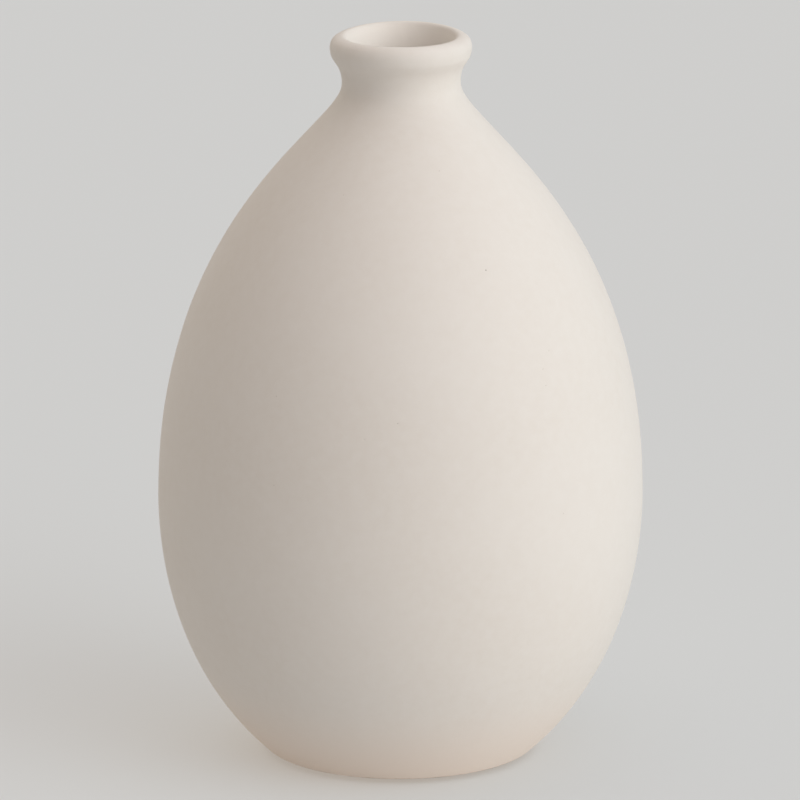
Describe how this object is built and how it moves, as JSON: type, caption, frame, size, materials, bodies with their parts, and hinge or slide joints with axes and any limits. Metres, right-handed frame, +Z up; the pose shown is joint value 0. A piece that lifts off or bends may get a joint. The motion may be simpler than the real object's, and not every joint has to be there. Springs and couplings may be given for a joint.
{
  "type": "bud vase",
  "caption": "Egg-shaped matte stoneware bud vase with a short waisted neck, a small rolled lip, a glazed inside and felt dots under its foot.",
  "frame": {"origin": "centre of the plane that the vase stands on, under the felt dots", "axes": "+Z up along the axis that the body is turned about, -Y towards the viewer, and the first felt dot at the back, on +Y"},
  "size_m": [0.1016, 0.1016, 0.1533],
  "materials": {
    "stoneware": "matte",
    "liner_glaze": "gloss",
    "felt": "pressed felt"
  },
  "bodies": {
    "root": {"stoneware_body": "stoneware", "glaze_lining": "liner_glaze", "felt_pad_1": "felt", "felt_pad_2": "felt", "felt_pad_3": "felt"}
  },
  "joints": []
}
